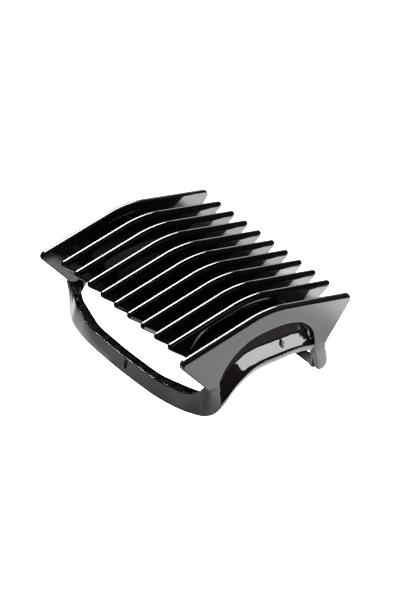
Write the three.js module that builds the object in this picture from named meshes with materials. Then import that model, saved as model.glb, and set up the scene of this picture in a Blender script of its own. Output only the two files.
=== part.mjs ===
// Clipper guard comb: nine thin blades between two taller cheeks, on a frame with a bowed
// front strap, a recessed arch under each cheek and a low rear catch.
// Millimetres, +Z up, +X to the right side, -Y to the bowed strap.
// The origin is at the middle of the footprint, on the plane that the comb rests on.
import * as THREE from 'three';
import { mergeVertices } from 'three/addons/utils/BufferGeometryUtils.js';

// ---- driving dimensions ----
const GAP = 0.3;                     // clearance between neighbouring solids
const PITCH = 4.3;                   // blade spacing
const BLADES = 9;
const BLADE_T = 0.9;                 // blade thickness
const CHEEK_X = 22.7;                // middle plane of a cheek
const CHEEK_T = 1.5;

// ridge line shared by all eleven plates
const CREST = { y: 0.3, z: 19.29 };  // where the two straight slopes would meet
const SLOPE_F = 0.206;               // rise towards the crest on the front side
const SLOPE_R = 0.222;               // fall behind the crest
const BEND = 4.1;                    // half length of the bend at the crest

// blade ends: the tip corners and the edges under them, as a fall per mm
const BLADE_TIP = { front: -19.45, rear: 20.1, fallF: 0.839, fallR: 0.7, rF: 0.7, rR: 0.7 };
const BLADE_HEEL_Z = 9.2;            // underside of the blade outside the webs
const BLADE_FOOT_Z = 8.2;            // underside of the blade inside the webs
const BLADE_MOUTH_Z = 10.9;          // underside of the blade over the clipper head
const MOUTH = { front: -7.5, rear: 6.5 };
const WEB = { front: -9.6, rear: 8.6, t: 1.5, z0: 8.2, z1: 10.8, half: 18.25 };

// cheek ends
const CHEEK_TIP = { front: -20.7, rear: 20.32, rF: 1.25, rR: 0.95 };
const CHEEK_F = { y: -13.37, z: 6.02, fall: 1.216 };  // a point on the front edge, and its fall
const CHEEK_R = { y: 14.3, z: 7.3, fall: 1.287 };     // the same for the rear edge
const LEG_Z = 6.15;                  // where the cheek's front leg stands on its root block
const POST_TOP = 6.3;                // where the rear posts leave the cheeks

// recessed arch: the cheek's lower edge and the rim, as (y, z) points of smooth curves
const ARCH_TOP = [[-11.0, 5.9], [-11.3, 7.2], [-10.2, 9.6], [-7.9, 12.1], [-4.4, 14.0], [0, 14.62],
  [4.9, 14.3], [8.4, 12.9], [10.3, 10.7], [10.9, 8.6], [11.0, 6.3]];
const ARCH_RIM = [[22.6, -12.4, 0], [23.3, -12.05, 0.7], [23.9, -10.9, 1.9], [24.15, -10.0, 2.85],
  [24.2, -9.1, 3.75], [24.1, -7.2, 5.15], [23.85, -4.3, 6.35], [23.6, -2.2, 6.65], [23.4, 2.7, 6.6],
  [23.3, 7.4, 6.45], [23.3, 10.6, 5.7]];
const RIM_SPAN = [0.185, 0.985];     // the part of that curve which the side wall follows
const ARCH_SPAN = [0.15, 0.945];     // the same for the cheek's lower edge
const RIM_X = 23.3;                  // outer face of the rim at its rear
const RIM_H = 1.1;
const WALL_T = 1.0;
const RECESS = 3.2;                  // depth of the recess at its middle
const RECESS_END = 1.65;             // and at its two ends

const MARK = { at: 0.655, half: 1.3, t: 0.3, gap: 0.06 };  // raised lozenge on the recess

// front strap: four edges as (x, y, z) points of smooth curves, from the middle to the right
const STRAP = {
  outerLow: [[0, -17.9, 0], [5, -17.82, 0], [10, -17.6, 0], [13, -17.25, 0], [15, -16.87, 0],
    [17, -16.38, 0], [18.5, -15.88, 0], [20, -15.2, 0], [21, -14.65, 0], [21.65, -14.2, 0]],
  outerTop: [[0, -17.49, 3.6], [5, -17.37, 3.6], [10, -17.02, 3.5], [13, -16.4, 3.42],
    [15, -15.75, 3.4], [17, -15.15, 3.45], [18.5, -14.75, 3.8], [20, -14.15, 4.65],
    [21, -13.85, 5.8], [21.6, -13.8, 6.6]],
  innerTop: [[0, -15.51, 3.6], [5, -15.4, 3.6], [10, -15.07, 3.55], [13, -14.35, 3.55],
    [15, -13.8, 3.6], [17, -13.3, 3.75], [18.5, -12.9, 3.87], [20, -12.2, 3.98],
    [20.9, -11.8, 4.4], [21.55, -11.5, 5.4]],
  innerLow: [[0, -15.6, 0], [5, -15.5, 0], [10, -15.2, 0], [13, -14.6, 0], [15, -14.1, 0],
    [17, -13.6, 0], [18.5, -13.15, 0], [20, -12.5, 0], [20.9, -12.1, 0], [21.6, -11.9, 0]],
};
const STRAP_SPLIT = 0.5;             // where the middle ends and the corners start, 0 to 1
const STRAP_BREAK = 0.018;           // the gap there, on the same scale
const STRAP_EASE = [0.35, 0.3, 0.2, 0.3];  // cut-back of each of the four edges

// blocks between the strap, the cheeks and the side walls: outlines at rising heights
const ROOT_IN = 21.95;
const ROOT = [
  [0, [-13.5, 22.0], [-13.3, 22.45], [-12.4, 22.5], [-12.1, 22.3], [-12.1, 22.1]],
  [0.7, [-13.75, 22.35], [-13.4, 23.0], [-12.3, 23.2], [-11.7, 22.9], [-11.7, 22.3]],
  [2.1, [-13.85, 22.7], [-13.3, 23.5], [-12.2, 23.8], [-11.0, 23.95], [-11.0, 23.0]],
  [3.2, [-13.85, 22.9], [-13.3, 23.6], [-12.0, 23.85], [-10.1, 24.1], [-10.1, 23.1]],
  [4.6, [-13.8, 23.0], [-13.3, 23.5], [-12.0, 23.7], [-9.95, 23.9], [-9.95, 22.9]],
  [5.8, [-13.7, 23.0], [-13.3, 23.4], [-12.0, 23.5], [-9.95, 23.7], [-9.95, 22.6]],
  [5.87, [-10.95, 22.6], [-10.9, 23.2], [-10.7, 23.5], [-9.95, 23.65], [-9.95, 22.5]],
  [7.2, [-10.95, 22.5], [-10.9, 23.1], [-10.7, 23.3], [-9.95, 23.3], [-9.95, 22.4]],
  [8.5, [-10.45, 22.5], [-10.4, 22.9], [-10.3, 23.1], [-9.95, 23.1], [-9.95, 22.4]],
];

// rear catch
const REAR = { y0: 12.0, y1: 14.1, z0: 0.35, z1: 3.0, half: 20.5 };
const POST_X = { in: 20.85, out: 23.2 };

// ---- materials: one moulded plastic, with a shade of its own for each kind of part ----
function plastic(colour, roughness = 0.25) {
  return new THREE.MeshStandardMaterial({ color: colour, roughness, metalness: 0 });
}

// ---- geometry helpers ----
const v2 = (p) => new THREE.Vector2(p[0], p[1]);
const lerp = (a, b, t) => a + (b - a) * t;
const lerp2 = (a, b, t) => [lerp(a[0], b[0], t), lerp(a[1], b[1], t)];

function spline(points, count, from = 0, to = 1) {
  const curve = new THREE.SplineCurve(points.map(v2));
  const out = [];
  for (let i = 0; i <= count; i++) {
    const p = curve.getPointAt(lerp(from, to, i / count));
    out.push([p.x, p.y]);
  }
  return out;
}

// rounds the corners of an open or closed list of points; a point's third value is its radius
function rounded(points) {
  const out = [];
  const n = points.length;
  points.forEach((p, i) => {
    const r = p[2] || 0;
    if (!r) { out.push([p[0], p[1]]); return; }
    const here = v2(p);
    const a = v2(points[(i + n - 1) % n]).sub(here).normalize();
    const b = v2(points[(i + 1) % n]).sub(here).normalize();
    const half = a.angleTo(b) / 2;
    const reach = r / Math.tan(half);
    const centre = a.clone().add(b).normalize().multiplyScalar(r / Math.sin(half)).add(here);
    const start = here.clone().addScaledVector(a, reach).sub(centre);
    const end = here.clone().addScaledVector(b, reach).sub(centre);
    let turn = end.angle() - start.angle();
    if (turn > Math.PI) turn -= 2 * Math.PI;
    if (turn < -Math.PI) turn += 2 * Math.PI;
    const steps = Math.max(3, Math.ceil(Math.abs(turn) / 0.3));
    for (let k = 0; k <= steps; k++) {
      const ang = start.angle() + (turn * k) / steps;
      out.push([centre.x + r * Math.cos(ang), centre.y + r * Math.sin(ang)]);
    }
  });
  return out;
}

function solid(geometry) {
  geometry.deleteAttribute('normal');
  geometry.deleteAttribute('uv');
  const g = mergeVertices(geometry, 1e-4);
  g.computeVertexNormals();
  return g;
}

// a (y, z) outline made solid from x0 to x1, with its edges eased
function plate(outline, x0, x1, ease = 0.2) {
  const g = new THREE.ExtrudeGeometry(new THREE.Shape(outline.map(v2)), {
    depth: x1 - x0 - 2 * ease, bevelEnabled: true, bevelThickness: ease,
    bevelSize: ease, bevelOffset: -ease, bevelSegments: 2, steps: 1,
  });
  const axes = new THREE.Matrix4().makeBasis(
    new THREE.Vector3(0, 1, 0), new THREE.Vector3(0, 0, 1), new THREE.Vector3(1, 0, 0));
  g.applyMatrix4(axes);
  g.translate(x0 + ease, 0, 0);
  return solid(g);
}

// a solid through rings of the same number of points, closed at both ends
function loft(rings, capPlane) {
  const n = rings[0].length;
  const position = rings.flat().flatMap((p) => [p.x, p.y, p.z]);
  const index = [];
  for (let r = 0; r + 1 < rings.length; r++) {
    for (let i = 0; i < n; i++) {
      const a = r * n + i;
      const b = r * n + ((i + 1) % n);
      index.push(a, b, a + n, b, b + n, a + n);
    }
  }
  const flat = rings[0].map(capPlane);
  const cap = THREE.ShapeUtils.triangulateShape(flat, []);
  const last = (rings.length - 1) * n;
  const ccw = THREE.ShapeUtils.area(flat) > 0;
  cap.forEach(([a, b, c]) => {
    if (ccw) index.push(a, c, b, last + a, last + b, last + c);
    else index.push(a, b, c, last + a, last + c, last + b);
  });
  const g = new THREE.BufferGeometry();
  g.setAttribute('position', new THREE.Float32BufferAttribute(position, 3));
  g.setIndex(index);
  if (volume(g) < 0) g.setIndex(index.map((_, k) => index[k - (k % 3) + [0, 2, 1][k % 3]]));
  g.computeVertexNormals();
  return g;
}

function volume(g) {
  const p = g.getAttribute('position');
  const at = (i) => new THREE.Vector3().fromBufferAttribute(p, g.index.getX(i));
  let sum = 0;
  for (let i = 0; i < g.index.count; i += 3) sum += at(i).dot(at(i + 1).cross(at(i + 2)));
  return sum / 6;
}

function mirrored(geometry) {
  const g = geometry.clone();
  g.scale(-1, 1, 1);
  const old = g.index.array;
  g.setIndex(Array.from(old, (_, k) => old[k - (k % 3) + [0, 2, 1][k % 3]]));
  g.computeVertexNormals();
  return g;
}

function addPart(group, name, geometry, material) {
  const mesh = new THREE.Mesh(geometry, material);
  mesh.name = name;
  group.add(mesh);
}

function addPair(group, name, geometry, makeMaterial) {
  addPart(group, `${name}_right`, geometry, makeMaterial());
  addPart(group, `${name}_left`, mirrored(geometry), makeMaterial());
}

// ---- the ridge line ----
function ridge(y) {
  const t = y - CREST.y;
  if (t <= -BEND) return CREST.z + SLOPE_F * t;
  if (t >= BEND) return CREST.z - SLOPE_R * t;
  const s = t + BEND;
  return CREST.z - SLOPE_F * BEND + SLOPE_F * s - ((SLOPE_F + SLOPE_R) * s * s) / (4 * BEND);
}

function ridgeLine(tip) {
  const out = [[tip.front, ridge(tip.front), tip.rF]];
  for (let k = 0; k <= 10; k++) {
    const y = CREST.y - BEND + (2 * BEND * k) / 10;
    out.push([y, ridge(y)]);
  }
  out.push([tip.rear, ridge(tip.rear), tip.rR]);
  return out;
}

// ---- blades and the two webs that tie them ----
function notch(y, side) {
  // the slot that a web passes through, from its inner jaw to its outer one
  const half = WEB.t / 2 + GAP;
  const top = WEB.z1 + GAP;
  return [[y - side * half, BLADE_FOOT_Z], [y - side * half, top], [y + side * half, top],
    [y + side * half, BLADE_HEEL_Z]];
}

function bladeOutline() {
  const { front, rear, fallF, fallR } = BLADE_TIP;
  const heelF = front + (ridge(front) - BLADE_HEEL_Z) / fallF;
  const heelR = rear - (ridge(rear) - BLADE_HEEL_Z) / fallR;
  return rounded([
    ...ridgeLine(BLADE_TIP),
    [heelR, BLADE_HEEL_Z],
    ...notch(WEB.rear, 1).reverse(),
    [MOUTH.rear, BLADE_FOOT_Z],
    [MOUTH.rear - 0.6, BLADE_MOUTH_Z, 1.5],
    [MOUTH.front + 0.6, BLADE_MOUTH_Z, 1.5],
    [MOUTH.front, BLADE_FOOT_Z],
    ...notch(WEB.front, -1),
    [heelF, BLADE_HEEL_Z],
  ]).reverse();
}

function addBlades(group) {
  const outline = bladeOutline();
  for (let i = 0; i < BLADES; i++) {
    const x = (i - (BLADES - 1) / 2) * PITCH;
    const g = plate(outline, x - BLADE_T / 2, x + BLADE_T / 2, 0.18);
    addPart(group, `blade_${i + 1}`, g, plastic(0x1e1715));
  }
}

function webGeometry(y) {
  const h = WEB.t / 2;
  const outline = [[y - h, WEB.z0], [y + h, WEB.z0], [y + h, WEB.z1], [y - h, WEB.z1]];
  return plate(outline, -WEB.half, WEB.half, 0.2);
}

// ---- cheeks ----
function cheekOutline() {
  const legFront = CHEEK_F.y + (CHEEK_F.z - LEG_Z) / CHEEK_F.fall;
  const postRear = CHEEK_R.y - (CHEEK_R.z - POST_TOP - GAP) / CHEEK_R.fall;
  const arch = spline(ARCH_TOP, 44).filter((p) => p[1] > LEG_Z + 0.1);
  const right = arch.filter((p) => !(p[0] > 0 && p[1] < POST_TOP + GAP + 0.1));
  return rounded([
    ...ridgeLine(CHEEK_TIP),
    [postRear, POST_TOP + GAP],
    [ARCH_TOP[ARCH_TOP.length - 1][0], POST_TOP + GAP],
    ...right.reverse(),
    [ARCH_TOP[0][0], LEG_Z],
    [legFront, LEG_Z],
  ]).reverse();
}

// ---- recessed side walls with their rims ----
const RIM_CURVE = new THREE.CatmullRomCurve3(ARCH_RIM.map((p) => new THREE.Vector3(...p)));
const ARCH_CURVE = new THREE.SplineCurve(ARCH_TOP.map(v2));

function wallRing(s) {
  const low = RIM_CURVE.getPointAt(lerp(...RIM_SPAN, s));
  const rim = new THREE.Vector2(low.y, low.z);
  const along = ARCH_CURVE.getPointAt(lerp(...ARCH_SPAN, s)).sub(rim);
  const len = along.length();
  along.normalize();
  const swell = Math.min(1, Math.min(s, 1 - s) / 0.3);
  const depth = lerp(RECESS_END, RECESS, Math.sin((swell * Math.PI) / 2));
  const slopeEnd = Math.min(RIM_H + (low.x - RIM_X + depth) * 1.05, len - 0.5);
  const back = RIM_X - depth;
  const lip = CHEEK_X - CHEEK_T / 2 - GAP;
  const section = [
    [low.x, 0], [low.x, RIM_H], [back, slopeEnd], [back, len + 0.1], [lip, len + 0.1],
    [lip, len + 0.9], [back - WALL_T, len + 0.9], [back - WALL_T, slopeEnd - 0.5],
    [low.x - WALL_T, RIM_H - 0.5], [low.x - WALL_T, 0],
  ];
  return section.map(([x, v]) => new THREE.Vector3(x, rim.x + along.x * v, rim.y + along.y * v));
}

function wallGeometry() {
  const rings = [];
  for (let k = 0; k <= 40; k++) rings.push(wallRing(k / 40));
  return loft(rings, (p) => new THREE.Vector2(p.x, p.z));
}

// a plain raised lozenge on the recess, in the place of a size mark
function markGeometry() {
  const [, low, high] = wallRing(MARK.at);
  const up = high.clone().sub(low).normalize();
  const next = wallRing(MARK.at + 0.01)[1];
  const out = up.clone().cross(next.sub(low)).normalize();
  if (out.x < 0) out.negate();
  const side = out.clone().cross(up);
  const centre = low.clone().lerp(high, 0.5).addScaledVector(out, MARK.t / 2 + MARK.gap);
  const g = new THREE.CylinderGeometry(MARK.half, MARK.half, MARK.t, 4);
  g.scale(0.45, 1, 1);
  g.applyMatrix4(new THREE.Matrix4().makeBasis(side, out, up).setPosition(centre));
  return solid(g);
}

// ---- front strap ----
function strapRing(corners) {
  // each corner of the four-sided section is cut back along both of its sides
  return corners.flatMap((c, i) => [corners[(i + 3) % 4], corners[(i + 1) % 4]].map((next) =>
    c.clone().addScaledVector(next.clone().sub(c).normalize(), STRAP_EASE[i])));
}

function strapGeometry(from, to, count) {
  const edges = Object.values(STRAP).map((pts) => new THREE.CatmullRomCurve3([
    ...pts.slice(1).reverse().map((p) => new THREE.Vector3(-p[0], p[1], p[2])),
    ...pts.map((p) => new THREE.Vector3(...p))]));
  const rings = [];
  for (let k = 0; k <= count; k++) {
    const t = (lerp(from, to, k / count) + 1) / 2;
    rings.push(strapRing(edges.map((edge) => edge.getPoint(t))));
  }
  return loft(rings, (p) => new THREE.Vector2(Math.hypot(p.x, p.y), p.z));
}

function tickGeometry() {
  const g = new THREE.BoxGeometry(0.45, 0.3, 2.1);
  g.translate(1.85, STRAP.outerLow[0][1] - 0.05, 2.35);
  return solid(g);
}

// ---- root blocks between the strap, the cheek legs and the side walls ----
function rootGeometry() {
  const rings = ROOT.map(([z, ...outer]) => {
    const first = outer[0][0];
    const last = outer[outer.length - 1][0];
    const inner = [[Math.min(last, -11.45), ROOT_IN], [first, ROOT_IN]];
    if (z > 5.85) inner[0][0] = last;
    return [...outer, ...inner].map(([y, x]) => new THREE.Vector3(x, y, z));
  });
  return loft(rings, (p) => new THREE.Vector2(p.x, p.y));
}

// ---- rear catch ----
function postGeometry() {
  const outline = rounded([
    [11.05, POST_TOP], [11.85, 2.6], [12.15, 0, 0.6], [13.95, 0, 1.2], [14.45, 2.2, 0.8],
    [13.6, POST_TOP],
  ]);
  return plate(outline, POST_X.in, POST_X.out, 0.35);
}

function catchBarGeometry() {
  const outline = rounded([
    [REAR.y0, REAR.z0, 0.3], [REAR.y1, REAR.z0, 0.8], [REAR.y1, REAR.z1, 0.5],
    [REAR.y0, REAR.z1, 0.3],
  ]);
  return plate(outline, -REAR.half, REAR.half, 0.2);
}

// ---- assembly ----
function build() {
  const group = new THREE.Group();
  group.name = 'clipper_guard_comb';
  addBlades(group);
  addPart(group, 'front_web', webGeometry(WEB.front), plastic(0x1c1614));
  addPart(group, 'rear_web', webGeometry(WEB.rear), plastic(0x1c1614));
  const cheek = plate(cheekOutline(), CHEEK_X - CHEEK_T / 2, CHEEK_X + CHEEK_T / 2, 0.35);
  addPair(group, 'cheek', cheek, () => plastic(0x231b19, 0.3));
  addPair(group, 'side_wall', wallGeometry(), () => plastic(0x1b1513, 0.2));
  addPair(group, 'size_mark', markGeometry(), () => plastic(0x2a211f, 0.3));
  addPair(group, 'strap_root', rootGeometry(), () => plastic(0x201917));
  addPart(group, 'strap_middle', strapGeometry(-STRAP_SPLIT, STRAP_SPLIT, 32), plastic(0x201917));
  const corner = strapGeometry(STRAP_SPLIT + STRAP_BREAK, 1, 18);
  addPair(group, 'strap_corner', corner, () => plastic(0x201917));
  addPart(group, 'index_tick', tickGeometry(), plastic(0x2a211f, 0.3));
  addPart(group, 'catch_bar', catchBarGeometry(), plastic(0x1e1715));
  addPair(group, 'catch_post', postGeometry(), () => plastic(0x1e1715));
  return group;
}

export default build();
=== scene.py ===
"""Clipper guard comb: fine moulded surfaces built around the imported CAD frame."""
import bpy
import math
import numpy as np
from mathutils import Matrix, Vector
from mathutils.bvhtree import BVHTree


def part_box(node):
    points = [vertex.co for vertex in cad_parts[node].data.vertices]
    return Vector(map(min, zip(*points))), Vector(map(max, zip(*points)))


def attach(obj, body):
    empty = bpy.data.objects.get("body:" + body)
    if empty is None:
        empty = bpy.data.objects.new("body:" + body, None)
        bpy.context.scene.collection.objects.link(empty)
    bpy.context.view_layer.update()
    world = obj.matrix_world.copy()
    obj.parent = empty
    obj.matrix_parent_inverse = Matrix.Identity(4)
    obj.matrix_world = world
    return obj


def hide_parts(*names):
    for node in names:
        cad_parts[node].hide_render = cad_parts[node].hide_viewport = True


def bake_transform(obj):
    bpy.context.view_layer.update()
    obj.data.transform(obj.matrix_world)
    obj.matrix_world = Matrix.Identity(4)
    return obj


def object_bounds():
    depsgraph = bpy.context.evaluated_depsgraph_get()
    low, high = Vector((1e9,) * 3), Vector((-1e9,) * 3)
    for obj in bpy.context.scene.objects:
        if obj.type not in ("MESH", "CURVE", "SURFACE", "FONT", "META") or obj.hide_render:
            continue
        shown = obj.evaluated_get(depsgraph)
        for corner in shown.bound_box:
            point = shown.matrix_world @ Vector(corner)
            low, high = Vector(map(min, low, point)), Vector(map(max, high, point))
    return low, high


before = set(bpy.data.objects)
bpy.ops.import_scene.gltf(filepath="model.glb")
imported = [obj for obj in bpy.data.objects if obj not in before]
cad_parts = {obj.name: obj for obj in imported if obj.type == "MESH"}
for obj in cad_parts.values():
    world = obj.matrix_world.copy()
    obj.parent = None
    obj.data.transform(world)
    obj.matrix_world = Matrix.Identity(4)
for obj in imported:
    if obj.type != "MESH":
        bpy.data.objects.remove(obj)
CAD_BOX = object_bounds()
MM = 0.001
ROOT, CATCH = "comb_frame", "rear_catch"

# ---- sizes in millimetres, as in the CAD source unless a comment says otherwise ----
PITCH, BLADES, BLADE_THICK = 4.3, 9, 0.9
# the ridge line: the place of its bend, its slopes to the front and the rear, and half of the
# bend's length
CREST_Y, CREST_Z, SLOPE_F, SLOPE_R, BEND = 0.3, 19.29, 0.206, 0.222, 4.1
BLADE_FRONT, BLADE_REAR = -19.45, 20.1
# heights of a blade's heels, of the feet on the webs and of the roof between them
HEEL, FOOT, ROOF = 9.2, 8.2, 10.9
# how steeply a blade's front and rear ends fall from its tips to its heels
RAKE_F, RAKE_R = 0.839, 0.7
# a blade's underside from the rear to the front, as (y, z, corner radius)
BLADE_ARCH = [(9.9, HEEL, 0.5), (9.55, FOOT, 0.3), (6.5, FOOT, 0.35), (5.9, ROOF, 1.2),
              (-6.9, ROOF, 1.2), (-7.5, FOOT, 0.35), (-10.55, FOOT, 0.3), (-10.9, HEEL, 0.5)]
CHEEK_FRONT, CHEEK_REAR, CHEEK_IN, CHEEK_OUT = -20.7, 20.32, 21.95, 23.45
# half of a web's length, which is longer than the CAD's but still ends short of the side walls, and
# the fillets where a web meets the blades
WEB_HALF, WEB_FILLET = 19.3, 0.3
# the ends of a cheek's legs, as (y, z) and a corner radius: the rear one stands on the post, and the
# front one ends inside the strap's corner
CHEEK_REAR_LEG = [(14.0, 6.9), (13.75, 6.3), (11.0, 6.3)]
CHEEK_FRONT_LEG = [(-11.02, 5.9), (-11.15, 5.2, 0.3), (-12.7, 5.2, 0.3), (-13.3, 6.05)]
# the arch between a cheek's legs, from the front to the rear, as (y, z)
ARCH_TOP = [(-11.0, 5.9), (-11.3, 7.2), (-10.2, 9.6), (-7.9, 12.1), (-4.4, 14.0), (0, 14.62),
            (4.9, 14.3), (8.4, 12.9), (10.3, 10.7), (10.9, 8.6), (11.0, 6.3)]
# the part of the arch below this height belongs to the legs
ARCH_FOOT = 6.4


def box_mm(node):
    low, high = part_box(node)
    return [v / MM for v in low], [v / MM for v in high]


# ---- curves ----
def catmull(points, t):
    """A point of the centripetal spline through points, t from 0 to 1."""
    p = [np.array(q, float) for q in points]
    n = len(p) - 1
    k = min(int(t * n), n - 1)
    u = t * n - k
    p1, p2 = p[k], p[k + 1]
    p0 = p[k - 1] if k > 0 else 2 * p1 - p2
    p3 = p[k + 2] if k + 2 <= n else 2 * p2 - p1
    d0, d1, d2 = (max(np.linalg.norm(b - a) ** 0.5, 1e-6)
                  for a, b in ((p0, p1), (p1, p2), (p2, p3)))
    m1 = ((p1 - p0) / d0 - (p2 - p0) / (d0 + d1) + (p2 - p1) / d1) * d1
    m2 = ((p2 - p1) / d1 - (p3 - p1) / (d1 + d2) + (p3 - p2) / d2) * d1
    u2, u3 = u * u, u ** 3
    return ((2 * u3 - 3 * u2 + 1) * p1 + (u3 - 2 * u2 + u) * m1
            + (3 * u2 - 2 * u3) * p2 + (u3 - u2) * m2)


def even(points, count, start=0.0, end=1.0):
    """count + 1 points spaced evenly along the spline, from start to end of its length."""
    fine = np.array([catmull(points, i / 400) for i in range(401)])
    run = np.concatenate([[0], np.cumsum(np.linalg.norm(np.diff(fine, axis=0), axis=1))])
    at = np.linspace(start, end, count + 1) * run[-1]
    return np.array([[np.interp(a, run, fine[:, c]) for c in range(fine.shape[1])] for a in at])


def ridge(y):
    """Height of the blades' and cheeks' top edge."""
    t = y - CREST_Y
    if t <= -BEND:
        return CREST_Z + SLOPE_F * t
    if t >= BEND:
        return CREST_Z - SLOPE_R * t
    s = t + BEND
    return CREST_Z - SLOPE_F * BEND + SLOPE_F * s - (SLOPE_F + SLOPE_R) * s * s / (4 * BEND)


def rounded(points, step=0.12, fixed=0):
    """A closed outline with its corners rounded; a point's third value is its radius.
    step is the turn in radians between points, or fixed the number of steps of every corner."""
    out = []
    n = len(points)
    for i, p in enumerate(points):
        here = np.array(p[:2], float)
        r = p[2] if len(p) > 2 else 0
        if not r:
            out.append(here)
            continue
        a = np.array(points[i - 1][:2], float) - here
        b = np.array(points[(i + 1) % n][:2], float) - here
        a, b = a / np.linalg.norm(a), b / np.linalg.norm(b)
        half = math.acos(max(-1, min(1, float(a @ b)))) / 2
        mid = (a + b) / np.linalg.norm(a + b)
        centre = here + mid * r / math.sin(half)
        start = here + a * r / math.tan(half) - centre
        end = here + b * r / math.tan(half) - centre
        a0, a1 = math.atan2(start[1], start[0]), math.atan2(end[1], end[0])
        turn = (a1 - a0 + math.pi) % (2 * math.pi) - math.pi
        steps = fixed or max(4, math.ceil(abs(turn) / step))
        for k in range(steps + 1):
            angle = a0 + turn * k / steps
            out.append(centre + r * np.array([math.cos(angle), math.sin(angle)]))
    return np.array(out)


# ---- meshes ----
def make(name, verts, faces, material, slot, body=ROOT, nodes=()):
    """A smooth piece from a shape in millimetres, kept inside the CAD's box, that rides a body and
    replaces CAD nodes."""
    mesh = bpy.data.meshes.new(name)
    verts = [[max(low, min(high, v * MM)) for v, low, high in zip(p, *CAD_BOX)] for p in verts]
    mesh.from_pydata(verts, [], [tuple(f) for f in faces])
    mesh.validate()
    obj = bpy.data.objects.new(name, mesh)
    bpy.context.scene.collection.objects.link(obj)
    mesh.materials.append(material)
    for poly in mesh.polygons:
        poly.use_smooth = True
    mod = obj.modifiers.new("face_weighted_shading", "WEIGHTED_NORMAL")
    mod.weight = 100
    mod.keep_sharp = False
    if body:
        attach(obj, body)
    if nodes:
        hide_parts(*nodes)
    return obj


def outward(points):
    """Outward mitre directions of a closed anticlockwise outline."""
    before, after = points - np.roll(points, 1, 0), np.roll(points, -1, 0) - points
    nb = np.stack([before[:, 1], -before[:, 0]], 1)
    na = np.stack([after[:, 1], -after[:, 0]], 1)
    nb /= np.linalg.norm(nb, axis=1)[:, None]
    na /= np.linalg.norm(na, axis=1)[:, None]
    m = nb + na
    return 2 * m / (m * m).sum(1)[:, None]


def arc(r, steps=5):
    """A quarter round from the middle of a plate's edge to its face: (inset, distance) pairs."""
    return [(r * (1 - math.cos(a)), r * (1 - math.sin(a)))
            for a in np.linspace(0, math.pi / 2, steps + 1)]


def ring_faces(levels, n):
    """Faces between rings of n points each, with the first and the last ring closed."""
    faces = [(r * n + i, r * n + (i + 1) % n, (r + 1) * n + (i + 1) % n, (r + 1) * n + i)
             for r in range(levels - 1) for i in range(n)]
    faces.append(tuple(range(n))[::-1])
    faces.append(tuple(range((levels - 1) * n, levels * n)))
    return faces


def plate(outline, x0, x1, rim0, rim1, blend=None):
    """Vertices and faces of a (y, z) outline made solid between x0 and x1. rim0 and rim1 are the
    profiles of its two rims; blend(y, z) mixes two profiles, and then each rim is a pair of them."""
    pts = np.array(outline)
    if (pts[:, 0] * np.roll(pts[:, 1], -1) - pts[:, 1] * np.roll(pts[:, 0], -1)).sum() < 0:
        pts = pts[::-1]
    pts = pts[np.linalg.norm(pts - np.roll(pts, 1, 0), axis=1) > 1e-4]
    normals = outward(pts)
    verts, n = [], len(pts)
    mix = np.array([blend(*p) for p in pts]) if blend else np.zeros(n)
    levels = 0
    for rim, edge, inwards in ((rim0, x0, 1), (rim1, x1, -1)):
        one, two = rim if blend else (rim, rim)
        for (inset, depth), (inset2, depth2) in list(zip(one, two))[::-inwards]:
            ring = pts - normals * (inset + (inset2 - inset) * mix)[:, None]
            xs = edge + inwards * (depth + (depth2 - depth) * mix)
            verts += [(x, p[0], p[1]) for x, p in zip(xs, ring)]
            levels += 1
    return verts, ring_faces(levels, n)


def loft(rings):
    """Vertices and faces through rings of the same number of points, facing outwards."""
    verts = [tuple(p) for ring in rings for p in ring]
    faces = ring_faces(len(rings), len(rings[0]))
    v = np.array(verts)
    volume = sum(float(v[f[0]] @ np.cross(v[f[k]], v[f[k + 1]]))
                 for f in faces for k in range(1, len(f) - 1))
    if volume < 0:
        faces = [f[::-1] for f in faces]
    return verts, faces


def mirror(shape):
    """The same shape on the comb's left side."""
    verts, faces = shape
    return [(-p[0], p[1], p[2]) for p in verts], [f[::-1] for f in faces]


# ---- nodes ----
def empty_tree(owner):
    """The node tree of a material or a world, emptied."""
    owner.use_nodes = True
    owner.node_tree.nodes.clear()
    return owner.node_tree


def math_node(nt, kind, a, b=0):
    """a and b are numbers or sockets."""
    node = nt.nodes.new("ShaderNodeMath")
    node.operation = kind
    for k, v in enumerate((a, b)):
        if isinstance(v, (int, float)):
            node.inputs[k].default_value = v
        else:
            nt.links.new(v, node.inputs[k])
    return node.outputs[0]


def map_range(nt, source, low, high, at_low, at_high):
    node = nt.nodes.new("ShaderNodeMapRange")
    for key, v in zip(("From Min", "From Max", "To Min", "To Max"), (low, high, at_low, at_high)):
        node.inputs[key].default_value = v
    nt.links.new(source, node.inputs["Value"])
    return node.outputs[0]


# ---- material: one dark moulded plastic, glossy, with the cheeks' outer faces satin ----
# how far tint and roughness vary about their mean, and the roughness that a satin face adds
VARY_LOW, VARY_HIGH, SATIN = 0.85, 1.2, 0.24
# noise, as (scale, detail): patches of tint, patches of polish, and the ripple of the skin
TINT_NOISE, POLISH_NOISE, RIPPLE_NOISE = (90, 3), (260, 4), (160, 1)
RIPPLE_MM, IOR = 0.004, 1.53


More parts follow.
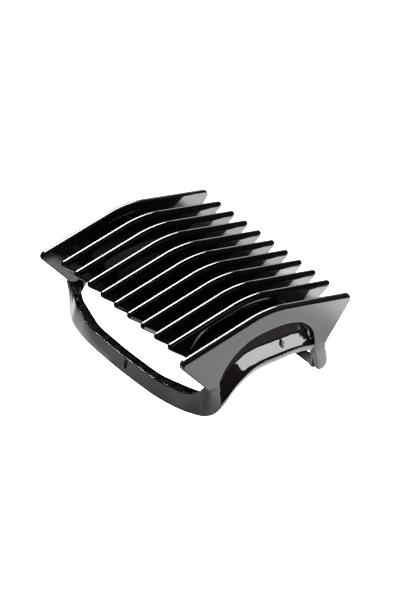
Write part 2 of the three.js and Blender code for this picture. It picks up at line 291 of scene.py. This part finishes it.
def plastic(name, colour, rough, satin_side=0):
    """satin_side is 1 or -1 for a plate whose face towards +X or -X is satin and the rest glossy."""
    mat = bpy.data.materials.new(name)
    nt = empty_tree(mat)
    out = nt.nodes.new("ShaderNodeOutputMaterial")
    bsdf = nt.nodes.new("ShaderNodeBsdfPrincipled")
    coord = nt.nodes.new("ShaderNodeTexCoord")
    nt.links.new(bsdf.outputs[0], out.inputs[0])

    def noise(scale, detail):
        tex = nt.nodes.new("ShaderNodeTexNoise")
        tex.inputs["Scale"].default_value = scale
        tex.inputs["Detail"].default_value = detail
        nt.links.new(coord.outputs["Object"], tex.inputs["Vector"])
        return tex.outputs["Fac"]

    tint = nt.nodes.new("ShaderNodeMixRGB")
    tint.inputs[1].default_value = (*[c * VARY_LOW for c in colour], 1)
    tint.inputs[2].default_value = (*[c * VARY_HIGH for c in colour], 1)
    nt.links.new(noise(*TINT_NOISE), tint.inputs[0])
    nt.links.new(tint.outputs[0], bsdf.inputs["Base Color"])
    polish = map_range(nt, noise(*POLISH_NOISE), 0.3, 0.7, rough * VARY_LOW, rough * VARY_HIGH)
    if satin_side:
        facing = nt.nodes.new("ShaderNodeSeparateXYZ")
        nt.links.new(coord.outputs["Normal"], facing.inputs[0])
        satin = map_range(nt, facing.outputs["X"], 0.93 * satin_side, 0.99 * satin_side, 0, SATIN)
        polish = math_node(nt, "ADD", polish, satin)
    nt.links.new(polish, bsdf.inputs["Roughness"])
    bsdf.inputs["IOR"].default_value = IOR

    wave = nt.nodes.new("ShaderNodeBump")
    wave.inputs["Strength"].default_value = 1
    wave.inputs["Distance"].default_value = RIPPLE_MM * MM
    nt.links.new(noise(*RIPPLE_NOISE), wave.inputs["Height"])
    nt.links.new(wave.outputs[0], bsdf.inputs["Normal"])
    return mat


GLOSS = plastic("blade_gloss", (0.0070, 0.0042, 0.0036), 0.07)
CHEEK = {"right": plastic("cheek_satin_right", (0.008, 0.0062, 0.0058), 0.08, satin_side=1),
         "left": plastic("cheek_satin_left", (0.008, 0.0062, 0.0058), 0.08, satin_side=-1)}
WALL = plastic("wall_gloss", (0.006, 0.0040, 0.0036), 0.04)
STRAP = plastic("strap_gloss", (0.012, 0.0085, 0.0078), 0.1)
POST = plastic("catch_gloss", (0.010, 0.0068, 0.006), 0.1)


# ---- blades and webs ----
def ridge_points(front, rear, r_front, r_rear, count=40):
    """The top edge from front to rear, with the corner radii of its two ends."""
    ys = np.linspace(CREST_Y - BEND, CREST_Y + BEND, count + 1)
    bend = [(y, ridge(y)) for y in ys]
    return [(front, ridge(front), r_front)] + bend + [(rear, ridge(rear), r_rear)]


def blade_outline():
    heel_f = BLADE_FRONT + (ridge(BLADE_FRONT) - HEEL) / RAKE_F
    heel_r = BLADE_REAR - (ridge(BLADE_REAR) - HEEL) / RAKE_R
    return rounded(ridge_points(BLADE_FRONT, BLADE_REAR, 0.7, 0.7)
                   + [(heel_r, HEEL, 0.4)] + BLADE_ARCH + [(heel_f, HEEL, 0.4)])


# the rim of a blade's right face along its ridge: (inset, distance) pairs, as arc gives them
BLADE_SHOULDER = [(0, 0.48), (0.02, 0.43), (0.08, 0.38), (0.3, 0.28), (0.6, 0.15), (0.85, 0.05),
                  (1.0, 0.01), (1.15, 0)]
# the shaped rims run between these places, and fade over this distance below the ridge and at the tips
SHAPED_FROM, SHAPED_TO, SHAPED_FADE = -20, 20.6, 1.2


def near_ridge(y, z):
    """1 along the ridge line and 0 from a little below it and at both tips."""
    below = 1 - (ridge(y) - z) / SHAPED_FADE
    tips = min((y - SHAPED_FROM) / SHAPED_FADE, (SHAPED_TO - y) / SHAPED_FADE)
    return max(0, min(1, below)) * max(0, min(1, tips))


def build_blades():
    outline = blade_outline()
    left, right = (arc(0.2), arc(0.2)), (arc(0.25, 7), BLADE_SHOULDER)
    for i in range(BLADES):
        low, high = box_mm(f"blade_{i + 1}")
        shape = plate(outline, low[0], high[0], left, right, near_ridge)
        make(f"comb_blade_{i + 1}", *shape, GLOSS, "blade_plastic", nodes=[f"blade_{i + 1}"])


def rounded_rect(a0, a1, b0, b1, r, steps=4):
    """A rectangle from (a0, b0) to (a1, b1) with round corners, anticlockwise."""
    pts = []
    for ca, cb, start in ((a1 - r, b1 - r, 0), (a0 + r, b1 - r, 90),
                          (a0 + r, b0 + r, 180), (a1 - r, b0 + r, 270)):
        for k in range(steps + 1):
            ang = math.radians(start + 90 * k / steps)
            pts.append((ca + r * math.cos(ang), cb + r * math.sin(ang)))
    return pts


def build_web(name):
    """A cross web that flares with a small fillet where it meets each blade."""
    low, high = box_mm(name)
    # the fillets start a little inside a blade's faces
    face = BLADE_THICK / 2 - 0.1
    blades = [(i - (BLADES - 1) / 2) * PITCH for i in range(BLADES)]
    stops = {-WEB_HALF, WEB_HALF}
    for x in blades:
        for k in range(6):
            d = WEB_FILLET * (1 - math.cos(math.pi / 2 * k / 5))
            stops |= {x + face + d, x - face - d}
        stops |= {x}
    rings = []
    for x in sorted(stops):
        near = min(abs(x - b) for b in blades) - face
        near = min(max(near, 0), WEB_FILLET)
        grow = WEB_FILLET - math.sqrt(max(WEB_FILLET ** 2 - (WEB_FILLET - near) ** 2, 0))
        rings.append([(x, p[0], p[1]) for p in rounded_rect(
            low[1] - grow, high[1] + grow, low[2], high[2] + grow, 0.25)])
    make(f"comb_{name}", *loft(rings), GLOSS, "blade_plastic", nodes=[name])


# ---- cheeks ----
def cheek_outline():
    arch = [tuple(p) for p in even(ARCH_TOP, 90) if p[1] > ARCH_FOOT]
    return rounded(ridge_points(CHEEK_FRONT, CHEEK_REAR, 1.25, 0.95, 60)
                   + CHEEK_REAR_LEG + arch[::-1] + CHEEK_FRONT_LEG)


# the rims of a cheek's top, on its outer and its inner side: (inset, distance) pairs
CHEEK_SHOULDER = [(0, 0.82), (0.015, 0.77), (0.05, 0.68), (0.13, 0.48), (0.21, 0.32), (0.31, 0.2),
                  (0.43, 0.1), (0.55, 0.04), (0.65, 0.015), (0.75, 0.005), (0.85, 0)]
CHEEK_INNER = [(0, 0.45), (0.015, 0.4), (0.05, 0.32), (0.1, 0.2), (0.17, 0.11), (0.25, 0.05),
               (0.35, 0.015), (0.45, 0)]


def build_cheek(side, flip):
    shape = plate(cheek_outline(), CHEEK_IN, CHEEK_OUT, (arc(0.2, 7), CHEEK_INNER),
                  (arc(0.3, 10), CHEEK_SHOULDER), near_ridge)
    make(f"cheek_shell_{side}", *flip(shape), CHEEK[side], "cheek_plastic",
         nodes=[f"cheek_{side}", f"strap_root_{side}"])


# ---- side walls, with their recesses and marks ----
# the lower edge of a side wall, as (x, y, z)
ARCH_RIM = [(22.6, -12.4, 0), (23.3, -12.05, 0.7), (23.9, -10.9, 1.9), (24.15, -10.0, 2.85),
            (24.2, -9.1, 3.75), (24.1, -7.2, 5.15), (23.85, -4.3, 6.35), (23.6, -2.2, 6.65),
            (23.4, 2.7, 6.6), (23.3, 7.4, 6.45), (23.3, 10.6, 5.7)]
# depth of the recess by its place along the arch, from the front end (0) to the rear end (1)
WALL_DEPTH = [(0, 0.6), (0.02, 1.2), (0.05, 1.7), (0.1, 2.2), (0.22, 2.8), (0.36, 3.3), (0.62, 3.3),
              (0.75, 3.0), (0.9, 2.2), (1.0, 1.6)]
# slope of the recess, mm inwards per mm up, by height above the rim; the lower part is a wide ledge
BOWL_SLOPE = [(0, 1.15), (0.5, 1.05), (0.75, 0.70), (2.5, 0.68), (2.8, 0.42), (12, 0.42)]
BOWL_STEPS, WALL_STEPS = 22, 110
# the rim's height, how far it stands proud of the ledge and of its foot, and the wall's thickness
RIM_HIGH, RIM_PROUD, WALL_THICK = 1.35, 0.3, 0.9
# WALL_DEPTH counts from a skin that runs from the rim to the cheek's face over LEAN_HIGH, and the
# wall's top edge ends under the cheek at LIP_X or deeper
CHEEK_FACE, LEAN_HIGH, LIP_X = 23.4, 2.5, 22.9


def bowl_curve(depth, height):
    """(depth, height) pairs of the recess's skin, scaled to reach its full depth at its top."""
    hs = np.linspace(0, height, BOWL_STEPS + 1)
    slopes = np.interp((hs[1:] + hs[:-1]) / 2, *zip(*BOWL_SLOPE))
    inwards = np.concatenate([[0], np.cumsum(slopes * np.diff(hs))])
    return [(d * depth / inwards[-1], h) for d, h in zip(inwards, hs)]


def wall_ring(s, low, top):
    """The wall at s along its arch: its section as (x, height) points, and in (y, z) the place of its
    foot and the direction in which its height runs."""
    foot = low[1:]
    up = top - foot
    length = np.linalg.norm(up)
    up = up / length
    outer, ledge = low[0], low[0] - RIM_PROUD
    skin = outer + (CHEEK_FACE - outer) * min(1, LEAN_HIGH / length)
    back = skin - np.interp(s, *zip(*WALL_DEPTH))
    back_top = min(RIM_HIGH + (outer - back) * 0.95 + 0.1, length - 0.3)
    lip = min(back, LIP_X)
    curve = bowl_curve(ledge - back, length + 0.15 - RIM_HIGH)
    section = rounded([(ledge, 0, 0.2), (outer, RIM_HIGH, 0.2)] + [
        (ledge - d, RIM_HIGH + 0.05 + h) for d, h in curve] + [
        (lip, length + 0.45), (lip - 0.1, length + 0.9), (lip - WALL_THICK, length + 0.9, 0.2),
        (back - WALL_THICK, back_top - 0.5, 0.5), (ledge - WALL_THICK, RIM_HIGH - 0.2, 0.3),
        (ledge - WALL_THICK, 0.35, 0.15)], fixed=6)
    return section, foot, up


def wall_shape():
    rims = even(ARCH_RIM, WALL_STEPS, 0.05, 1.0)
    tops = even(ARCH_TOP, WALL_STEPS, 0.0, 0.985)
    rings = []
    for k in range(WALL_STEPS + 1):
        section, foot, up = wall_ring(k / WALL_STEPS, rims[k], tops[k])
        rings.append([(x, foot[0] + up[0] * v, foot[1] + up[1] * v) for x, v in section])
    return loft(rings)


def build_wall(side, flip):
    make(f"recess_wall_{side}", *flip(wall_shape()), WALL, "wall_plastic", nodes=[f"side_wall_{side}"])


# the mark's dome, as (height above the recess's skin, size against its outline)
MARK_DOME = [(-0.2, 1), (0.1, 1), (0.2, 0.93), (0.32, 0.72), (0.4, 0.45), (0.43, 0.1)]


def build_mark(side, flip):
    """A plain raised lozenge that follows the skin of the recess."""
    low, high = box_mm("size_mark_right")
    verts, faces = wall_shape()
    skin = BVHTree.FromPolygons([tuple(v) for v in verts], faces)
    outside, inwards = 30, Vector((-1, 0, 0))
    cy, cz = (low[1] + high[1]) / 2, (low[2] + high[2]) / 2
    outline = rounded([(high[1], cz, 0.15), (cy, high[2], 0.2), (low[1], cz, 0.15), (cy, low[2], 0.2)])
    rings = []
    for raised, k in MARK_DOME:
        ring = []
        for y, z in outline:
            y, z = cy + (y - cy) * k, cz + (z - cz) * k
            hit = skin.ray_cast(Vector((outside, y, z)), inwards)[0]
            ring.append((hit.x + raised, y, z))
        rings.append(ring)
    make(f"recess_mark_{side}", *flip(loft(rings)), STRAP, "wall_plastic", nodes=[f"size_mark_{side}"])


# ---- front strap ----
# the four edges of the strap's right half from its middle to its corner, as (x, y, z)
STRAP_EDGES = [
    # outer, low
    [(0, -17.9, 0), (5, -17.82, 0), (10, -17.6, 0), (13, -17.25, 0), (15, -16.87, 0), (17, -16.38, 0),
     (18.5, -15.88, 0), (20, -15.2, 0), (21, -14.65, 0), (21.75, -14.1, 0), (22.55, -12.75, 0.05),
     (23.25, -11.95, 0.75), (23.75, -11.1, 1.75)],
    # outer, top
    [(0, -17.49, 3.6), (5, -17.37, 3.6), (10, -17.02, 3.5), (13, -16.4, 3.42), (15, -15.75, 3.4),
     (17, -15.15, 3.45), (18.5, -14.75, 3.8), (20, -14.15, 4.65), (21, -13.85, 5.8), (22.1, -14.0, 6.9),
     (23.4, -13.7, 7.0), (23.5, -12.6, 6.9), (23.47, -11.5, 6.6)],
    # inner, top
    [(0, -15.51, 3.6), (5, -15.4, 3.6), (10, -15.07, 3.55), (13, -14.35, 3.55), (15, -13.8, 3.6),
     (17, -13.3, 3.75), (18.5, -12.9, 3.87), (20, -12.2, 3.98), (20.85, -11.8, 4.3), (21.5, -11.5, 5.4),
     (22.0, -11.2, 6.6), (22.1, -11.15, 6.6), (22.3, -11.1, 6.5)],
    # inner, low
    [(0, -15.6, 0), (5, -15.5, 0), (10, -15.2, 0), (13, -14.6, 0), (15, -14.1, 0), (17, -13.6, 0),
     (18.5, -13.15, 0), (20, -12.5, 0), (20.9, -12.1, 0), (21.5, -11.8, 0), (21.8, -11.5, 0.3),
     (22.2, -11.3, 1.2), (22.7, -11.1, 2.2)],
]
# the radius of each edge, and the steps of its corner and along the strap
STRAP_ROUND = [0.35, 0.22, 0.2, 0.3]
STRAP_CORNER_STEPS, STRAP_STEPS = 5, 240


def strap_section(corners):
    """The four-sided section with its corners rounded."""
    out = []
    for i, c in enumerate(corners):
        ends = []
        for to in (corners[i - 1] - c, corners[(i + 1) % 4] - c):
            length = np.linalg.norm(to)
            ends.append(c + to / length * min(STRAP_ROUND[i], length * 0.45))
        out += [(1 - t) ** 2 * ends[0] + 2 * t * (1 - t) * c + t * t * ends[1]
                for t in np.linspace(0, 1, STRAP_CORNER_STEPS + 1)]
    return out


def build_strap():
    edges = [[(-p[0], p[1], p[2]) for p in half[:0:-1]] + half for half in STRAP_EDGES]
    rings = [strap_section([catmull(e, t) for e in edges]) for t in np.linspace(0, 1, STRAP_STEPS + 1)]
    make("front_strap", *loft(rings), STRAP, "strap_plastic",
         nodes=["strap_middle", "strap_corner_left", "strap_corner_right"])


def build_tick():
    """The small raised line on the front of the strap, with a softened front."""
    low, high = box_mm("index_tick")
    pts = rounded_rect(low[0], high[0], low[2], high[2], 0.2)
    cx, cz = (low[0] + high[0]) / 2, (low[2] + high[2]) / 2
    rings = []
    for y, k in ((high[1], 1), (low[1] + 0.12, 1), (low[1] + 0.04, 0.86), (low[1], 0.6)):
        rings.append([(cx + (x - cx) * k, y, cz + (z - cz) * k) for x, z in pts])
    make("strap_tick", *loft(rings), STRAP, "strap_plastic", nodes=["index_tick"])


# ---- rear catch ----
# sections of a post from its top to its foot, as (z, y front, y rear, x inner, x outer)
POST_SECTIONS = [(7.6, 11.3, 14.2, 21.5, 23.44), (6.6, 11.05, 13.85, 21.3, 23.42),
                 (5.4, 11.2, 13.8, 21.1, 23.4), (4.2, 11.45, 14.05, 20.95, 23.35),
                 (3.0, 11.75, 14.3, 20.85, 23.3), (2.0, 11.9, 14.4, 20.85, 23.25),
                 (1.2, 12.0, 14.3, 20.85, 23.2), (0.6, 12.15, 14.0, 20.95, 23.05),
                 (0.2, 12.4, 13.6, 21.2, 22.8), (0.0, 12.75, 13.2, 21.6, 22.4)]
POST_ROUND, POST_STEPS = 0.6, 45
# places along the catch bar; towards each end it swells by BAR_SWELL, over SWELL_LONG
BAR_STOPS = (-21.6, -20.9, -20.7, -20.5, -20.2, -18, -9, 0, 9, 18, 20.2, 20.5, 20.7, 20.9, 21.6)
BAR_SWELL, SWELL_FROM, SWELL_LONG = 0.25, 20.2, 0.6


def post_shape():
    guide = []
    for z, y0, y1, x0, x1 in POST_SECTIONS:
        r = min(POST_ROUND, (y1 - y0) * 0.45, (x1 - x0) * 0.45)
        guide.append([(x, y, z) for x, y in rounded_rect(x0, x1, y0, y1, r, 6)])
    lines = list(zip(*guide))
    return loft([[tuple(catmull(line, t)) for line in lines]
                 for t in np.linspace(0, 1, POST_STEPS + 1)])


def build_catch():
    for side, flip in SIDES:
        obj = make(f"catch_post_{side}_flex", *flip(post_shape()), POST, "catch_plastic", body=None,
                   nodes=[f"catch_post_{side}"])
        x = 22.2 if side == "right" else -22.2
        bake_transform(obj)
    low, high = box_mm("catch_bar")
    rings = []
    for x in BAR_STOPS:
        grow = BAR_SWELL * max(0, min(1, (abs(x) - SWELL_FROM) / SWELL_LONG)) ** 2
        rings.append([(x, *p) for p in rounded_rect(
            low[1] - grow, high[1] + grow * 0.3, low[2], high[2] + grow, 0.22)])
    make("catch_bar_beam", *loft(rings), POST, "catch_plastic", body=CATCH, nodes=["catch_bar"])


SIDES = (("right", lambda shape: shape), ("left", mirror))
build_blades()
build_web("front_web")
build_web("rear_web")
for side, flip in SIDES:
    build_cheek(side, flip)
    build_wall(side, flip)
    build_mark(side, flip)
build_strap()
build_tick()
build_catch()


# ---- floor ----
# The floor is pure white to the camera. In reflections it glows with painted shadow and painted light:
# its brightness follows these tables of (mm, brightness) pairs, so that it darkens towards the comb as
# the comb's soft shadow does, a painted shadow.
FLOOR_HALF, FLOOR_DROP, CAMERA_WHITE = 3, 0.0002, 3.0
HALF_WIDE, HALF_DEEP = 23.0, 16.5
# by distance past the comb's sides, and past its front or its rear: painted light that grows away from
# the comb, and painted shadow close to it
GLOW_X = [(-7, 0.08), (-3, 1.3), (2, 1.9), (8, 3.1), (18, 3.2)]
GLOW_Y = [(-5, 0.08), (-1.5, 0.65), (7, 0.95), (20, 1.4)]
# GLOW_X fades past the front and the rear, and along the comb towards its front corners, a painted
# shade under the corners
SIDE_FADE = [(0, 1), (8, 0.75)]
CORNER_Y = [(-17, 0.42), (-8, 1)]
# a painted bright strip of light on the floor behind the comb
REAR_GLOW = [(9.5, 0), (11.5, 6.0)]
# a painted brighter band of light under the side walls' rims, across and along it
RIM_X = [(0, 0), (1, 2.2), (4, 2.2), (8, 0)]
RIM_Y = [(-11, 0), (-5, 1)]
# painted light on the floor where light falls through the front opening at the left end
GAP_X = [(-5, 1), (-3.5, 0)]
GAP_Y = [(-20, 0), (-16, 2.4), (-6.5, 2.4), (-4.5, 0)]
# painted shade: the floor is dark past the left cheek, and far from the comb
LEFT_X = [(-31, 0.05), (-27, 1)]
FAR_FADE = [(60, 1), (120, 0.04)]


def floor_material():
    mat = bpy.data.materials.new("floor_white_painted_shade_and_light")
    nt = empty_tree(mat)
    out = nt.nodes.new("ShaderNodeOutputMaterial")
    emit = nt.nodes.new("ShaderNodeEmission")
    emit.inputs["Color"].default_value = (1, 1, 1, 1)
    nt.links.new(emit.outputs[0], out.inputs[0])
    coord = nt.nodes.new("ShaderNodeTexCoord")
    place = nt.nodes.new("ShaderNodeSeparateXYZ")
    nt.links.new(coord.outputs["Object"], place.inputs[0])

    def plus(a, b):
        return math_node(nt, "ADD", a, b)

    def times(a, b):
        return math_node(nt, "MULTIPLY", a, b)

    def past(value, half):
        return math_node(nt, "SUBTRACT", math_node(nt, "ABSOLUTE", value), half)

    def follow(source, table):
        value = table[0][1]
        for (d0, g0), (d1, g1) in zip(table[:-1], table[1:]):
            value = plus(value, map_range(nt, source, d0, d1, 0, g1 - g0))
        return value

    # in reflections the floor's glow carries painted shadow near the comb and painted light in strips
    # and bands; to the camera it is plain white
    x, y = (times(place.outputs[k], 1 / MM) for k in (0, 1))
    over_x, over_y = past(x, HALF_WIDE), past(y, HALF_DEEP)
    side = times(times(follow(over_x, GLOW_X), follow(over_y, SIDE_FADE)), follow(y, CORNER_Y))
    gap = times(follow(y, GAP_Y), follow(x, GAP_X))
    band = times(follow(over_x, RIM_X), follow(y, RIM_Y))
    near = math_node(nt, "MAXIMUM", plus(side, band), follow(over_y, GLOW_Y))
    behind = follow(math_node(nt, "SUBTRACT", y, HALF_DEEP), REAR_GLOW)
    radius = math_node(nt, "SQRT", plus(times(x, x), times(y, y)))
    fade = times(follow(radius, FAR_FADE), follow(x, LEFT_X))
    ray = nt.nodes.new("ShaderNodeLightPath")
    pick = nt.nodes.new("ShaderNodeMix")
    nt.links.new(ray.outputs["Is Camera Ray"], pick.inputs["Factor"])
    nt.links.new(times(plus(plus(near, behind), gap), fade), pick.inputs["A"])
    pick.inputs["B"].default_value = CAMERA_WHITE
    nt.links.new(pick.outputs[0], emit.inputs["Strength"])
    return mat


def build_floor():
    mesh = bpy.data.meshes.new("studio_floor")
    h = FLOOR_HALF
    mesh.from_pydata([(-h, -h, 0), (h, -h, 0), (h, h, 0), (-h, h, 0)], [], [(0, 1, 2, 3)])
    mesh.materials.append(floor_material())
    obj = bpy.data.objects.new("studio_floor", mesh)
    bpy.context.scene.collection.objects.link(obj)
    obj.location = (0, 0, -FLOOR_DROP)


# ---- world ----
# grey of the sky by the height of its direction, brightest low over the horizon
SKY = [(0.0, 0.3), (0.34, 1), (0.45, 0.02), (0.48, 0.015)]
# its strength falls from the left to the right, and it shines from the rear only: low, high, and
# the two strengths
SKY_X = (-0.2, 0.25, 3.0, 0.02)
SKY_Y = (0.45, 0.58, 0.02, 1)
FILL, FILL_STRENGTH = (1, 0.8, 0.74, 1), 0.06


def build_world():
    """A strip of light low at the rear left, and a faint warm fill from all round."""
    world = bpy.data.worlds.new("studio")
    bpy.context.scene.world = world
    nt = empty_tree(world)
    coord = nt.nodes.new("ShaderNodeTexCoord")
    way = nt.nodes.new("ShaderNodeSeparateXYZ")
    nt.links.new(coord.outputs["Generated"], way.inputs[0])
    ramp = nt.nodes.new("ShaderNodeValToRGB")
    nt.links.new(way.outputs["Z"], ramp.inputs[0])
    stops = ramp.color_ramp.elements
    stops[0].position, stops[1].position = SKY[0][0], SKY[-1][0]
    for height, _ in SKY[1:-1]:
        stops.new(height)
    for stop, (_, grey) in zip(stops, SKY):
        stop.color = (grey, grey, grey, 1)
    sky, fill = (nt.nodes.new("ShaderNodeBackground") for _ in range(2))
    nt.links.new(ramp.outputs[0], sky.inputs["Color"])
    strength = math_node(nt, "MULTIPLY", map_range(nt, way.outputs["X"], *SKY_X),
                         map_range(nt, way.outputs["Y"], *SKY_Y))
    nt.links.new(strength, sky.inputs["Strength"])
    fill.inputs["Color"].default_value = FILL
    fill.inputs["Strength"].default_value = FILL_STRENGTH
    both = nt.nodes.new("ShaderNodeAddShader")
    out = nt.nodes.new("ShaderNodeOutputWorld")
    nt.links.new(sky.outputs[0], both.inputs[0])
    nt.links.new(fill.outputs[0], both.inputs[1])
    nt.links.new(both.outputs[0], out.inputs[0])


# ---- lights ----
# the point that both lights face
LIGHT_AIM = Vector((0, 0, 0.012))


def softbox(name, toward, width, height, power):
    """A rectangular light one metre from the comb, facing it. toward points from the comb to it."""
    data = bpy.data.lights.new(name, "AREA")
    data.shape = "RECTANGLE"
    data.size, data.size_y, data.energy = width, height, power
    obj = bpy.data.objects.new(name, data)
    bpy.context.scene.collection.objects.link(obj)
    d = Vector(toward).normalized()
    obj.location = d + LIGHT_AIM
    obj.rotation_euler = d.to_track_quat("Z", "Y").to_euler()
    return obj


def build_lights():
    """One softbox for the whole comb, and one that lights only the recesses and their marks, because
    its reflection would draw a grey line beside every ridge."""
    softbox("key_left", (-0.66, 0.25, 0.75), 0.9, 0.45, 42)
    recess_light = softbox("key_right", (0.78, 0.52, 0.37), 0.62, 0.46, 9.6)
    lit = bpy.data.collections.new("lit_by_key_right")
    for side, _ in SIDES:
        lit.objects.link(bpy.data.objects[f"recess_wall_{side}"])
        lit.objects.link(bpy.data.objects[f"recess_mark_{side}"])
    recess_light.light_linking.receiver_collection = lit


# ---- camera, fitted to the outlines in the photo ----
AZIMUTH, ELEVATION, DISTANCE = math.radians(53.67), math.radians(33.99), 0.645
AIM = Vector((0.023157, -0.015583, 0.027496))
LENS, SENSOR = 213.2, 36


def build_camera():
    toward = Vector((math.sin(AZIMUTH) * math.cos(ELEVATION), -math.cos(AZIMUTH) * math.cos(ELEVATION),
                     math.sin(ELEVATION)))
    cam = bpy.data.objects.new("camera", bpy.data.cameras.new("camera"))
    bpy.context.scene.collection.objects.link(cam)
    cam.data.lens, cam.data.sensor_width, cam.data.sensor_fit = LENS, SENSOR, "AUTO"
    cam.data.clip_start, cam.data.clip_end = 0.01, 20
    cam.location = AIM + toward * DISTANCE
    cam.rotation_euler = toward.to_track_quat("Z", "Y").to_euler()
    bpy.context.scene.camera = cam


build_floor()
build_world()
build_lights()
build_camera()
bpy.context.scene.view_settings.view_transform = "Standard"
